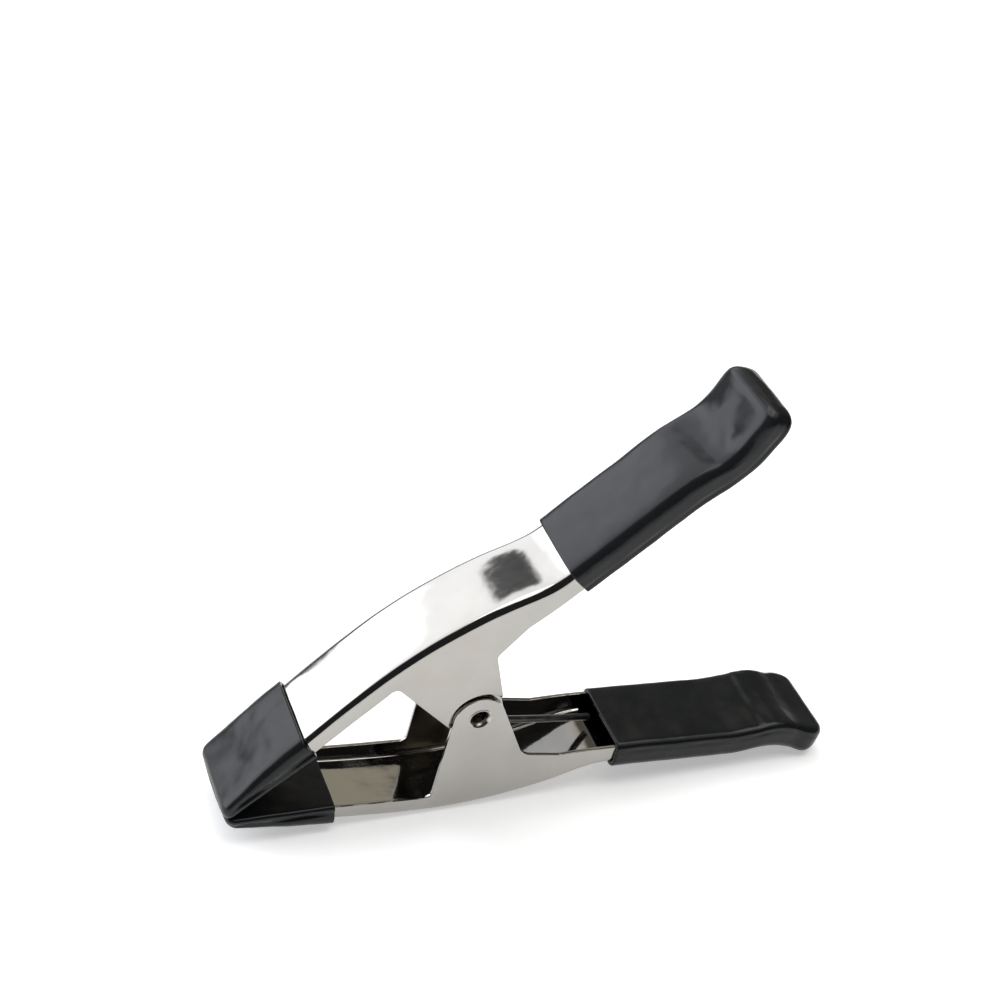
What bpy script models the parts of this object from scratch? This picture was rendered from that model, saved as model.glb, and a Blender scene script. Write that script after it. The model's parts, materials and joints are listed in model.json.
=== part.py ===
"""Spring clamp with two sheet-steel arms, a tubular rivet, a torsion spring and four vinyl sleeves.

Each arm is a U-channel stamping with two ears. The ears of the upper arm are joggled inwards,
so that they sit between the ears of the lower arm, and one hollow rivet joins all four. The
spring is coiled round the rivet and pushes the handles apart, which closes the jaws. The clamp
is at rest on its lower arm with the jaws closed.

An outline is drawn in millimetres in the plane of an arm: u runs from the jaws to the handles,
v runs from the middle of the clamp outwards to the arm's web, and the rivet is at 0, 0.
"""

import math

import bmesh
import bpy

MM = 0.001

# Sheet and widths
SHEET = 1.8
STEEL_HALF = 16.0
BEND = 3.3
VINYL = 1.3
GAP = 0.3
SLEEVE_HALF = STEEL_HALF + GAP + VINYL
SLEEVE_WALL = GAP + VINYL

# Pivot
EAR_RADIUS = 10.0
EAR_CENTRE = (-0.4, 0.6)
JOGGLE_RADIUS = 12.5
INNER_EAR_OUT = STEEL_HALF - SHEET - GAP
INNER_EAR_IN = INNER_EAR_OUT - SHEET
RIVET_SHANK = 4.1
RIVET_BORE = 3.3
RIVET_RIM = 4.9
RIVET_HOLE = RIVET_SHANK + GAP
RIVET_RIM_THICK = 0.8

# Spring
WIRE = 1.4
COIL_RADIUS = 6.9
COIL_END = 8.0
COIL_TURNS = 5
LEG_END = (47.0, 47.9)
LEG_END_Y = 4.5

# Rest pose: the lower arm lies on its arch and on the end of its grip
REST_TILT = math.radians(19.02)
PIVOT_X = -0.0291
PIVOT_Z = 0.04446

# The outer face of the web, from the jaw's tip to the handle's end
WEB_KEYS = (
    (-95.4, 3.9),
    (-87.0, 8.8),
    (-78.0, 14.1),
    (-69.5, 18.4),
    (-61.8, 22.0),
    (-54.0, 25.8),
    (-47.0, 29.1),
    (-36.9, 33.6),
    (-24.4, 38.6),
    (-14.0, 41.9),
    (-5.0, 44.2),
    (5.0, 46.1),
    (14.0, 47.4),
    (21.0, 48.0),
    (27.0, 48.2),
    (32.0, 48.4),
    (37.0, 49.0),
    (41.0, 50.0),
    (45.0, 51.5),
    (60.0, 57.9),
    (74.0, 63.9),
    (85.0, 68.6),
    (92.0, 71.4),
    (97.0, 72.8),
    (102.0, 73.9),
    (107.0, 75.5),
    (112.0, 78.1),
    (117.0, 82.0),
    (124.3, 88.9),
)
# The free edge of the flange along the jaw, and along the handle
JAW_EDGE_KEYS = ((-94.4, 2.42), (-77.0, 8.94), (-59.76, 15.4), (-43.0, 22.7), (-28.6, 28.9))
HANDLE_EDGE_KEYS = (
    (25.0, 34.8),
    (36.0, 38.6),
    (47.0, 43.0),
    (60.0, 48.4),
    (76.0, 55.2),
    (92.0, 62.0),
    (98.0, 64.1),
    (104.0, 65.8),
    (109.0, 67.5),
    (114.0, 69.8),
    (119.0, 73.2),
    (124.0, 77.5),
    (130.2, 83.7),
)
GRIP_START = 44.0
CAP_START = -61.6
# Spacing of the points along the outline of each jaw cap
CAP_STEPS = {"lower": 8.0, "upper": 5.5}
# Roundings of the sleeves: the edges over the web, the grip's free edges, and the two corners of its end
SLEEVE_BEND = 3.6
FREE_EDGE_BEND = 1.4
END_CORNERS = (4.0, 3.2)
# Radii in plan of the corners at a handle's end, on the steel and on the grip
STEEL_END_RADIUS = 5.5
GRIP_END_RADIUS = 7.0
# Fillets where the ear meets the jaw flange and the handle flange
EAR_FILLETS = (2.6, 4.0)
# The grip's free edge starts this much further along the handle than its edge on the web
GRIP_SLANT = 3.6
# The hollow in a cap is open towards the handles for this much more than the cap's length
CAP_RUN_OUT = 8.0
# The jaw cap's nose, and the flat pad behind it
NOSE_U = -97.3
NOSE_LOW_V = -0.1
NOSE_RADIUS = 1.9
PAD_START = (-93.9, 0.9)
PAD_END = (-59.2, 13.9)
# Every channel is cut from a slab that reaches this far towards the other arm
SLAB_V = -14.0


def clear_scene():
    for obj in list(bpy.data.objects):
        bpy.data.objects.remove(obj, do_unlink=True)


def new_collection(name):
    made = bpy.data.collections.new(name)
    bpy.context.scene.collection.children.link(made)
    return made


def material(name, colour, roughness, metallic):
    made = bpy.data.materials.new(name)
    made.use_nodes = True
    shader = made.node_tree.nodes["Principled BSDF"]
    shader.inputs["Base Color"].default_value = (*colour, 1.0)
    shader.inputs["Roughness"].default_value = roughness
    shader.inputs["Metallic"].default_value = metallic
    made.diffuse_color = (*colour, 1.0)
    return made


def smooth_line(keys, step=5.5):
    """A Catmull-Rom curve through the keys, with a point about every step."""
    ends = [keys[0]] + list(keys) + [keys[-1]]
    line = []
    for i in range(1, len(ends) - 2):
        p0, p1, p2, p3 = ends[i - 1 : i + 3]
        count = max(1, round(math.dist(p1, p2) / step))
        for j in range(count):
            t = j / count
            line.append(
                tuple(
                    0.5
                    * (
                        2 * b
                        + (c - a) * t
                        + (2 * a - 5 * b + 4 * c - d) * t**2
                        + (3 * b - a - 3 * c + d) * t**3
                    )
                    for a, b, c, d in zip(p0, p1, p2, p3)
                )
            )
    line.append(tuple(keys[-1]))
    return line


def offset_line(line, distance):
    """The line moved to its left by the distance."""
    moved = []
    for i, (x, y) in enumerate(line):
        before = line[max(i - 1, 0)]
        after = line[min(i + 1, len(line) - 1)]
        dx, dy = after[0] - before[0], after[1] - before[1]
        length = math.hypot(dx, dy)
        moved.append((x - dy / length * distance, y + dx / length * distance))
    return moved


def between(line, low, high):
    """The part of the line with u from low to high, with its ends interpolated."""
    kept = []
    for (u0, v0), (u1, v1) in zip(line, line[1:]):
        for cut in (low, high):
            if u0 < cut < u1:
                kept.append((cut, v0 + (v1 - v0) * (cut - u0) / (u1 - u0)))
        if low <= u1 <= high:
            kept.append((u1, v1))
    if low <= line[0][0] <= high:
        kept.insert(0, line[0])
    return sorted(set(kept))


def extend_ends(line, before, after):
    """The line with its first and last points moved outwards along it."""
    (x0, y0), (x1, y1) = line[0], line[1]
    d = math.dist(line[0], line[1])
    first = (x0 - (x1 - x0) / d * before, y0 - (y1 - y0) / d * before)
    (x0, y0), (x1, y1) = line[-1], line[-2]
    d = math.dist(line[-1], line[-2])
    last = (x0 - (x1 - x0) / d * after, y0 - (y1 - y0) / d * after)
    return [first] + line[1:-1] + [last]


def arc(centre, radius, start, end, count):
    """Points on a circle, from the start to the end angle in degrees."""
    made = []
    for i in range(count + 1):
        a = math.radians(start + (end - start) * i / count)
        made.append((centre[0] + radius * math.cos(a), centre[1] + radius * math.sin(a)))
    return made


def fillet(before, corner, after, radius, count=4):
    """The points that round one corner."""
    d0, d1 = math.dist(corner, before), math.dist(corner, after)
    a = ((before[0] - corner[0]) / d0, (before[1] - corner[1]) / d0)
    b = ((after[0] - corner[0]) / d1, (after[1] - corner[1]) / d1)
    half = math.acos(max(-1.0, min(1.0, a[0] * b[0] + a[1] * b[1]))) / 2
    reach = radius / math.tan(half)
    middle = (a[0] + b[0], a[1] + b[1])
    size = math.hypot(*middle)
    far = radius / math.sin(half)
    centre = (corner[0] + middle[0] / size * far, corner[1] + middle[1] / size * far)
    p = (corner[0] + a[0] * reach, corner[1] + a[1] * reach)
    q = (corner[0] + b[0] * reach, corner[1] + b[1] * reach)
    start = math.atan2(p[1] - centre[1], p[0] - centre[0])
    turn = math.atan2(q[1] - centre[1], q[0] - centre[0]) - start
    turn = (turn + math.pi) % (2 * math.pi) - math.pi
    return [
        (
            centre[0] + radius * math.cos(start + turn * i / count),
            centre[1] + radius * math.sin(start + turn * i / count),
        )
        for i in range(count + 1)
    ]


def mesh_of(obj, name, home):
    """The object as a welded mesh, in place of the object."""
    graph = bpy.context.evaluated_depsgraph_get()
    mesh = bpy.data.meshes.new_from_object(obj.evaluated_get(graph))
    made = bpy.data.objects.new(name, mesh)
    home.objects.link(made)
    made.matrix_world = obj.matrix_world.copy()
    work = bmesh.new()
    work.from_mesh(mesh)
    bmesh.ops.remove_doubles(work, verts=work.verts, dist=1e-6)
    bmesh.ops.recalc_face_normals(work, faces=work.faces)
    work.to_mesh(mesh)
    work.free()
    bpy.data.objects.remove(obj, do_unlink=True)
    return made


def prism(name, outline, low, high, home):
    """The outline in u, v as a solid from low to high across the width."""
    curve = bpy.data.curves.new(name + "_outline", "CURVE")
    curve.dimensions = "2D"
    curve.fill_mode = "BOTH"
    curve.extrude = (high - low) / 2 * MM
    spline = curve.splines.new("POLY")
    spline.points.add(len(outline) - 1)
    for point, (u, v) in zip(spline.points, outline):
        point.co = (u * MM, v * MM, 0.0, 1.0)
    spline.use_cyclic_u = True
    flat = bpy.data.objects.new(name + "_outline", curve)
    home.objects.link(flat)
    bpy.context.view_layer.update()
    solid = mesh_of(flat, name, home)
    work = bmesh.new()
    work.from_mesh(solid.data)
    for facing in (-1, 1):
        side = [face for face in work.faces if face.normal.z * facing > 0.999]
        bmesh.ops.dissolve_faces(work, faces=side, use_verts=False)
    for vertex in work.verts:
        vertex.co.z += (high + low) / 2 * MM
    work.to_mesh(solid.data)
    work.free()
    return solid


def round_edges(obj, half, line, radius, segments):
    """Rounds the two long edges that follow the line on the sides of a prism."""
    work = bmesh.new()
    work.from_mesh(obj.data)

    def on_line(vertex):
        place = (vertex.co.x / MM, vertex.co.y / MM)
        on_side = abs(abs(vertex.co.z) - half * MM) < 1e-6
        return on_side and any(math.dist(place, point) < 0.01 for point in line)

    edges = [
        edge
        for edge in work.edges
        if all(on_line(v) for v in edge.verts)
        and abs(edge.verts[0].co.z - edge.verts[1].co.z) < 1e-6
    ]
    bmesh.ops.bevel(
        work,
        geom=edges,
        offset=radius * MM,
        offset_type="OFFSET",
        segments=segments,
        profile=0.5,
        affect="EDGES",
        clamp_overlap=False,
    )
    work.to_mesh(obj.data)
    work.free()


def hide_cutter(obj):
    obj.hide_render = True
    obj.display_type = "WIRE"
    return obj


def boolean(obj, other, operation="DIFFERENCE"):
    modifier = obj.modifiers.new(operation.lower() + "_" + other.name, "BOOLEAN")
    modifier.operation = operation
    modifier.solver = "EXACT"
    modifier.object = other


def cylinder(name, radius, low, high, sides, home):
    """A cylinder round the rivet's axis, in the frame of an outline."""
    bpy.ops.mesh.primitive_cylinder_add(
        vertices=sides,
        radius=radius * MM,
        depth=(high - low) * MM,
        location=(0.0, 0.0, 0.0),
    )
    made = bpy.context.object
    made.name = name
    for vertex in made.data.vertices:
        vertex.co.z += (high + low) / 2 * MM
    for owner in list(made.users_collection):
        owner.objects.unlink(made)
    home.objects.link(made)
    return made


def along(start, end, v):
    """The point at v on the line through two points."""
    f = (v - start[1]) / (end[1] - start[1])
    return (start[0] + (end[0] - start[0]) * f, v)


def slab(name, line, half, radius, segments, home, front, back):
    """A block under the line with its two long edges rounded.

    The front and back are the points that its two ends lean towards.
    """
    low = [along(line[-1], back, SLAB_V), along(line[0], front, SLAB_V)]
    made = prism(name, line + low, -half, half, home)
    round_edges(made, half, line, radius, segments)
    return made


def below(name, chain, home):
    """A cutter for all that lies on the inner side of a chain of points.

    The chain runs from the jaws to the handles.
    """
    chain = extend_ends(chain, 12.0, 12.0)
    low = [(chain[-1][0] + 130.0, SLAB_V - 20.0), (chain[0][0], SLAB_V - 20.0)]
    return hide_cutter(prism(name, chain + low, -30.0, 30.0, home))


def arm_edge():
    """The free edge of one stamping in side view: jaw flange, ear and handle flange."""
    handle = smooth_line(HANDLE_EDGE_KEYS)
    jaw = smooth_line(JAW_EDGE_KEYS)
    left = (-25.4, 30.4)
    right = (11.7, 26.9)
    tip = arc(EAR_CENTRE, EAR_RADIUS, 204, 357, 14)
    outer = fillet(jaw[-1], left, tip[0], EAR_FILLETS[0])
    inner = fillet(tip[-1], right, handle[0], EAR_FILLETS[1])
    return jaw + outer + tip + inner + handle


def end_trim(name, half, radius, top, bottom, home):
    """A cutter that takes the two corners off a handle's end face.

    In side view the end face runs from top to bottom.
    """
    end = ((top[0] + bottom[0]) / 2, (top[1] + bottom[1]) / 2)
    slope = math.atan2(bottom[0] - top[0], top[1] - bottom[1])
    c, s = math.cos(slope), math.sin(slope)
    back = 1.0 - radius
    rim = arc((back, half - radius), radius, 90, 0, 6)
    outline = rim + [(x, -y) for x, y in rim[::-1]]
    outline += [(back, -half - 8), (radius, -half - 8), (radius, half + 8), (back, half + 8)]
    made = prism(name, outline, -30.0, 30.0, home)
    for vertex in made.data.vertices:
        x, y, z = vertex.co
        vertex.co = (end[0] * MM + x * c - z * s, end[1] * MM + x * s + z * c, -y)
    return hide_cutter(made)


def steel_arm(name, joggled, parts, cutters, look):
    web = smooth_line(WEB_KEYS)
    ends = (JAW_EDGE_KEYS[0], HANDLE_EDGE_KEYS[-1])
    arm = slab(name, web, STEEL_HALF, BEND, 3, parts, *ends)
    boolean(arm, below(name + "_below", arm_edge(), cutters))
    trim = end_trim(name + "_trim", STEEL_HALF, STEEL_END_RADIUS, web[-1], ends[1], cutters)
    boolean(arm, trim)

    inside = extend_ends(offset_line(web, -SHEET), 6.0, 14.0)
    low = [(inside[-1][0], SLAB_V - 4.0), (inside[0][0], SLAB_V - 4.0)]
    half = STEEL_HALF - SHEET
    hollow = prism(name + "_hollow", inside + low, -half, half, cutters)
    round_edges(hollow, half, inside, BEND - SHEET, 2)
    boolean(arm, hide_cutter(hollow))

    if joggled:
        for side in (-1, 1):
            limits = sorted((side * INNER_EAR_IN, side * 30))
            disc = cylinder(f"{name}_disc_{side + 1}", JOGGLE_RADIUS + SHEET, *limits, 48, cutters)
            boolean(hollow, hide_cutter(disc))
            limits = sorted((side * INNER_EAR_OUT, side * 30))
            step = cylinder(f"{name}_step_{side + 1}", JOGGLE_RADIUS, *limits, 48, cutters)
            boolean(arm, hide_cutter(step))
    hole = cylinder(name + "_hole", RIVET_HOLE, -30, 30, 32, cutters)
    boolean(arm, hide_cutter(hole))

    arm.data.materials.append(look)
    return arm


def grip(name, parts, cutters, look):
    web = between(smooth_line(WEB_KEYS), GRIP_START, 200.0)
    edge = between(smooth_line(HANDLE_EDGE_KEYS), GRIP_START + GRIP_SLANT, 200.0)
    top = extend_ends(offset_line(web, SLEEVE_WALL), 0.0, SLEEVE_WALL)
    bottom = extend_ends(offset_line(edge, -SLEEVE_WALL), 0.0, SLEEVE_WALL)
    corner_top = fillet(top[-2], top[-1], bottom[-1], END_CORNERS[0])
    corner_bottom = fillet(top[-1], bottom[-1], bottom[-2], END_CORNERS[1])
    outline = top[:-1] + corner_top + corner_bottom + bottom[:-1][::-1]
    made = prism(name, outline, -SLEEVE_HALF, SLEEVE_HALF, parts)
    round_edges(made, SLEEVE_HALF, top[:-1] + corner_top, SLEEVE_BEND, 3)
    round_edges(made, SLEEVE_HALF, corner_bottom[-1:] + bottom[:-1], FREE_EDGE_BEND, 2)

    roof = extend_ends(offset_line(web, GAP), 8.0, GAP)
    floor = extend_ends(offset_line(edge, -GAP), 8.0, GAP)
    half = STEEL_HALF + GAP
    hollow = prism(name + "_hollow", roof + floor[::-1], -half, half, cutters)
    round_edges(hollow, half, roof, BEND + GAP, 3)
    trim = end_trim(name + "_hollow_trim", half, STEEL_END_RADIUS, roof[-1], floor[-1], cutters)
    boolean(hollow, trim)
    trim = end_trim(name + "_trim", SLEEVE_HALF, GRIP_END_RADIUS, top[-1], bottom[-1], cutters)
    boolean(made, trim)
    boolean(made, hide_cutter(hollow))
    made.data.materials.append(look)
    return made


def cap(name, step, parts, cutters, look):
    web = between(smooth_line(WEB_KEYS, step), -200.0, CAP_START)
    top = offset_line(web, SLEEVE_WALL)
    slope = (top[1][1] - top[0][1]) / (top[1][0] - top[0][0])
    nose = (NOSE_U, top[0][1] + slope * (NOSE_U - top[0][0]))
    low_nose = (NOSE_U, NOSE_LOW_V)
    top = [(NOSE_U, SLAB_V)] + fillet(low_nose, nose, top[1], NOSE_RADIUS, 2) + top[1:]
    made = prism(name, top + [along(top[-1], PAD_END, SLAB_V)], -SLEEVE_HALF, SLEEVE_HALF, parts)
    round_edges(made, SLEEVE_HALF, top, SLEEVE_BEND, 3)
    lip = fillet(nose, low_nose, PAD_START, NOSE_RADIUS, 2)
    boolean(made, below(name + "_below", lip + [PAD_START, PAD_END], cutters))

    roof = extend_ends(offset_line(web, GAP), GAP, CAP_RUN_OUT)
    floor = between(smooth_line(JAW_EDGE_KEYS, step), -200.0, CAP_START + CAP_RUN_OUT)
    floor = extend_ends(offset_line([floor[0], floor[-1]], -GAP), GAP, 0.0)
    half = STEEL_HALF + GAP
    back = (roof[-1][0], SLAB_V)
    hollow = slab(name + "_hollow", roof, half, BEND + GAP, 3, cutters, floor[0], back)
    boolean(hollow, below(name + "_floor", floor, cutters))
    boolean(made, hide_cutter(hollow))
    made.data.materials.append(look)
    return made


def rivet(name, parts, look):
    """A tube with a rolled rim at each end, turned about its axis."""
    face = STEEL_HALF + GAP
    top = face + RIVET_RIM_THICK
    rim = [
        (RIVET_BORE + 0.5, top),
        (RIVET_RIM - 0.5, top),
        (RIVET_RIM - 0.1, top - 0.25),
        (RIVET_RIM, face + 0.2),
        (RIVET_RIM - 0.15, face),
        (RIVET_SHANK, face),
    ]
    profile = rim + [(r, -z) for r, z in rim[::-1]] + [(RIVET_BORE, 0.5 - top), (RIVET_BORE, top - 0.5)]
    mesh = bpy.data.meshes.new(name)
    count = len(profile)
    mesh.from_pydata(
        [(r * MM, 0.0, z * MM) for r, z in profile],
        [(i, (i + 1) % count) for i in range(count)],
        [],
    )
    made = bpy.data.objects.new(name, mesh)
    parts.objects.link(made)
    screw = made.modifiers.new("turn", "SCREW")
    screw.axis = "Z"
    screw.steps = 24
    screw.render_steps = 24
    screw.use_merge_vertices = True
    screw.merge_threshold = 0.00001
    mesh.materials.append(look)
    return made


def spring_path():
    """The centre line: in along the lower leg, round the coil, and out along the upper leg."""
    end_u, end_v = LEG_END
    reach = math.hypot(end_u, end_v)
    aim = math.atan2(end_v, end_u)
    tangent = aim + math.acos(COIL_RADIUS / reach)
    start = -tangent
    total = 2 * math.pi * COIL_TURNS + (2 * math.pi - 2 * tangent)
    count = 16 * COIL_TURNS + 5
    coil = []
    for i in range(count + 1):
        f = i / count
        a = start - total * f
        y = COIL_END * (2 * f - 1)
        coil.append((COIL_RADIUS * math.cos(a), y, COIL_RADIUS * math.sin(a)))
    first = coil[0]
    lower = []
    for i in range(7):
        f = i / 7
        ease = (1 - f) ** 1.2
        y = first[1] + (LEG_END_Y - first[1]) * ease
        lower.append((end_u + (first[0] - end_u) * f, y, -end_v + (first[2] + end_v) * f))
    upper = []
    for x, y, z in lower[::-1]:
        upper.append((x, -y, -z))
    return lower + coil + upper


def spring(name, parts, look):
    curve = bpy.data.curves.new(name, "CURVE")
    curve.dimensions = "3D"
    curve.bevel_depth = WIRE * MM
    curve.bevel_resolution = 2
    curve.use_fill_caps = True
    path = spring_path()
    spline = curve.splines.new("POLY")
    spline.points.add(len(path) - 1)
    for point, (x, y, z) in zip(spline.points, path):
        point.co = (x * MM, y * MM, z * MM, 1.0)
    made = bpy.data.objects.new(name, curve)
    parts.objects.link(made)
    curve.materials.append(look)
    return made


def place(obj, parent, turn):
    obj.parent = parent
    obj.rotation_euler = (math.radians(turn), 0.0, 0.0)


def smooth_shading(obj):
    if obj.type == "MESH":
        obj.data.shade_smooth()
        obj.data.set_sharp_from_angle(angle=math.radians(32))


def main():
    clear_scene()
    parts = new_collection("spring_clamp")
    cutters = new_collection("spring_clamp_cutters")

    nickel = material("nickel_plated_steel", (0.72, 0.71, 0.69), 0.22, 1.0)
    vinyl = material("black_vinyl", (0.018, 0.019, 0.021), 0.42, 0.0)
    oxide = material("black_oxide_wire", (0.09, 0.09, 0.095), 0.38, 1.0)
    rivet_steel = material("rivet_steel", (0.68, 0.67, 0.65), 0.28, 1.0)

    frame = bpy.data.objects.new("clamp_frame", None)
    frame.location = (PIVOT_X, 0.0, PIVOT_Z)
    frame.rotation_euler = (0.0, -REST_TILT, 0.0)
    parts.objects.link(frame)
    hinge = bpy.data.objects.new("upper_half_hinge", None)
    hinge.parent = frame
    parts.objects.link(hinge)

    for prefix, parent, turn in (("lower", frame, -90), ("upper", hinge, 90)):
        made = [
            steel_arm(f"{prefix}_arm", prefix == "upper", parts, cutters, nickel),
            grip(f"{prefix}_handle_grip", parts, cutters, vinyl),
            cap(f"{prefix}_jaw_cap", CAP_STEPS[prefix], parts, cutters, vinyl),
        ]
        for obj in made:
            place(obj, parent, turn)
            for modifier in obj.modifiers:
                follow_cutters(modifier.object, parent, turn)
            smooth_shading(obj)
    place(rivet("pivot_rivet", parts, rivet_steel), frame, 90)
    spring("torsion_spring", parts, oxide).parent = frame


def follow_cutters(obj, parent, turn):
    """Places a cutter, and the cutters that cut it, with the part."""
    if obj.parent is None:
        place(obj, parent, turn)
        for modifier in obj.modifiers:
            follow_cutters(modifier.object, parent, turn)


main()
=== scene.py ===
"""Looks of the spring clamp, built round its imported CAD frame.

Every outline is in millimetres in the plane of an arm, as in the CAD: u runs from the jaws to the
handles, v from the middle of the clamp outwards to the arm's web, y across the clamp, and the rivet
is at 0, 0.
"""

import json
import math

import bmesh
import bpy
import numpy as np
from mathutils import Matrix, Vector, noise
from mathutils.geometry import delaunay_2d_cdt


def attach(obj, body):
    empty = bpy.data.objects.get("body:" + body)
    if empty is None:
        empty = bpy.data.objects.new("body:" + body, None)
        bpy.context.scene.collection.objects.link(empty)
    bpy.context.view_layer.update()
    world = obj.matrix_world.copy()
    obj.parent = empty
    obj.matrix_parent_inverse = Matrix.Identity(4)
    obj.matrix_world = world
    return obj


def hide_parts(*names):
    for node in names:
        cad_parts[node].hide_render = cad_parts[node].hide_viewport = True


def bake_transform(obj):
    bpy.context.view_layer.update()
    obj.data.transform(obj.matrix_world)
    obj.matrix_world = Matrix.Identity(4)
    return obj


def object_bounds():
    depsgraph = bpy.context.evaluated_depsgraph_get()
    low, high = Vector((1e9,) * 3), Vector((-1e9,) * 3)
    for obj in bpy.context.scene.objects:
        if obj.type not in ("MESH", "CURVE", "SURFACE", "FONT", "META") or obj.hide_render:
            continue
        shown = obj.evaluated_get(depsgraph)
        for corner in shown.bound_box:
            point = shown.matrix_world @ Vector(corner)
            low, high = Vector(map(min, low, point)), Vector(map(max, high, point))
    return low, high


MM = 0.001
# Spacing of the points along the webs and sleeves, and along the stampings' free edges
WEB_STEP = 1.3
EDGE_STEP = 1.5
SHEET = 1.5
# Radius of the sheet's rounded edges
EDGE_ROUND = 0.3
# Where the sheet starts and ends, inside the sleeves
SHEET_START = -87.0
SHEET_END = 117.5
# Radii of the corner between an ear and its handle's flange
UPPER_CORNER = 3.0
LOWER_CORNER = 7.5
STEEL_HALF = 16.0
BEND = 3.3
SLEEVE_HALF = 17.6
SLEEVE_WALL = 1.6
EAR_RADIUS = 10.0
EAR_CENTRE = (-0.4, 0.6)
JOGGLE_DEPTH = 1.8
JOGGLE_INNER = 11.0
JOGGLE_WIDTH = 1.0
# The step stands this much further out below this height on the handles' side, where the ears
# turn past it
JOGGLE_EXTRA = 0.95
JOGGLE_EXTRA_V = 8.0
RIVET_HOLE = 4.4
# How far the middles of the webs stand proud of their sides
CROWN = 0.16
WIRE = 1.4
COIL_RADIUS = 6.9
COIL_END = 8.0
COIL_TURNS = 5
LEG_END = (43.6, 44.4)
LEG_END_Y = 4.5
REST_TILT = math.radians(19.02)

WEB_KEYS = (
    (-95.4, 3.9),
    (-87.0, 8.8),
    (-78.0, 14.1),
    (-69.5, 18.4),
    (-61.8, 22.0),
    (-54.0, 25.8),
    (-47.0, 29.1),
    (-36.9, 33.6),
    (-24.4, 38.6),
    (-14.0, 41.9),
    (-5.0, 44.2),
    (5.0, 46.1),
    (14.0, 47.4),
    (21.0, 48.0),
    (27.0, 48.2),
    (32.0, 48.4),
    (37.0, 49.0),
    (41.0, 50.0),
    (45.0, 51.5),
    (60.0, 57.9),
    (74.0, 63.9),
    (85.0, 68.6),
    (92.0, 71.4),
    (97.0, 72.8),
    (102.0, 73.9),
    (107.0, 75.5),
    (112.0, 78.1),
    (117.0, 82.0),
    (124.3, 88.9),
)
JAW_EDGE_KEYS = ((-94.4, 2.42), (-77.0, 8.94), (-59.76, 15.4), (-43.0, 22.7), (-28.6, 28.9))
HANDLE_EDGE_KEYS = (
    (25.0, 34.8),
    (36.0, 38.6),
    (47.0, 43.0),
    (60.0, 48.4),
    (76.0, 55.2),
    (92.0, 62.0),
    (98.0, 64.1),
    (104.0, 65.8),
    (109.0, 67.5),
    (114.0, 69.8),
    (119.0, 73.2),
    (124.0, 77.5),
    (130.2, 83.7),
)
# The lower sleeve's inner face runs on flatter past the steel, to a plump end
LOWER_END = (
    (132.8, 81.1),
    (130.0, 79.2),
    (127.0, 77.0),
    (124.5, 75.0),
    (122.0, 72.6),
    (119.0, 69.8),
    (116.0, 67.7),
    (113.0, 66.3),
    (109.0, 65.1),
)
GRIP_START = 44.0
# A grip's free edge starts this much further along than its edge on the web
GRIP_SLANT = 3.6
CAP_START = -61.6
NOSE_U = -97.3
NOSE_LOW_V = -0.1
PAD_START = (-93.9, 0.9)
PAD_END = (-59.2, 13.9)
# A sleeve's swell ends this far from its closed end, and fades over the last part of that
SWELL_END = 14
SWELL_FADE = 6
# The groove along a sleeve's side: its height over the bottom, and its width
GROOVE_HEIGHT = 3.1
GROOVE_WIDTH = 0.9


# ---------------------------------------------------------------- outlines


def smooth_line(keys, step):
    """A Catmull-Rom curve through the keys, with a point about every step."""
    ends = [keys[0]] + list(keys) + [keys[-1]]
    line = []
    for i in range(1, len(ends) - 2):
        p0, p1, p2, p3 = (np.array(p, float) for p in ends[i - 1 : i + 3])
        count = max(1, round(math.dist(p1, p2) / step))
        for j in range(count):
            t = j / count
            line.append(
                0.5
                * (
                    2 * p1
                    + (p2 - p0) * t
                    + (2 * p0 - 5 * p1 + 4 * p2 - p3) * t**2
                    + (3 * p1 - p0 - 3 * p2 + p3) * t**3
                )
            )
    line.append(np.array(keys[-1], float))
    return np.array(line)


def normals_of(line):
    """Unit normals to the left of a line."""
    d = np.gradient(line, axis=0)
    d /= np.linalg.norm(d, axis=1)[:, None]
    return np.c_[-d[:, 1], d[:, 0]]


def offset_line(line, distance):
    """The line moved to its left."""
    return line + normals_of(line) * distance


def arc(centre, radius, start, end, count):
    """Points on an arc between two angles in degrees."""
    a = np.radians(np.linspace(start, end, count + 1))
    return np.c_[centre[0] + radius * np.cos(a), centre[1] + radius * np.sin(a)]


def fillet(before, corner, after, radius, count):
    """The points that round one corner."""
    before, corner, after = (np.array(p, float) for p in (before, corner, after))
    a = (before - corner) / np.linalg.norm(before - corner)
    b = (after - corner) / np.linalg.norm(after - corner)
    half = math.acos(float(np.clip(a @ b, -1, 1))) / 2
    middle = (a + b) / np.linalg.norm(a + b)
    centre = corner + middle * radius / math.sin(half)
    p = corner + a * radius / math.tan(half) - centre
    q = corner + b * radius / math.tan(half) - centre
    start = math.atan2(p[1], p[0])
    turn = (math.atan2(q[1], q[0]) - start + math.pi) % (2 * math.pi) - math.pi
    angles = start + turn * np.linspace(0, 1, count + 1)
    return centre + radius * np.c_[np.cos(angles), np.sin(angles)]


def arm_edge(corner):
    """The free edge of a stamping in side view: jaw flange, ear and handle flange."""
    handle = smooth_line(HANDLE_EDGE_KEYS, EDGE_STEP)
    jaw = smooth_line(JAW_EDGE_KEYS, EDGE_STEP)
    left = (-25.4, 30.4)
    right = (11.7, 26.9)
    tip = arc(EAR_CENTRE, EAR_RADIUS, 204, 357, 44)
    outer = fillet(jaw[-1], left, tip[0], 2.6, 10)
    inner = fillet(tip[-1], right, handle[0], corner, 14)
    side = [outer[-1] + (tip[0] - outer[-1]) * f for f in np.linspace(0, 1, 14)[1:-1]]
    back = [tip[-1] + (inner[0] - tip[-1]) * f for f in np.linspace(0, 1, 12)[1:-1]]
    return np.vstack([jaw, outer, side, tip, back, inner, handle])


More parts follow.
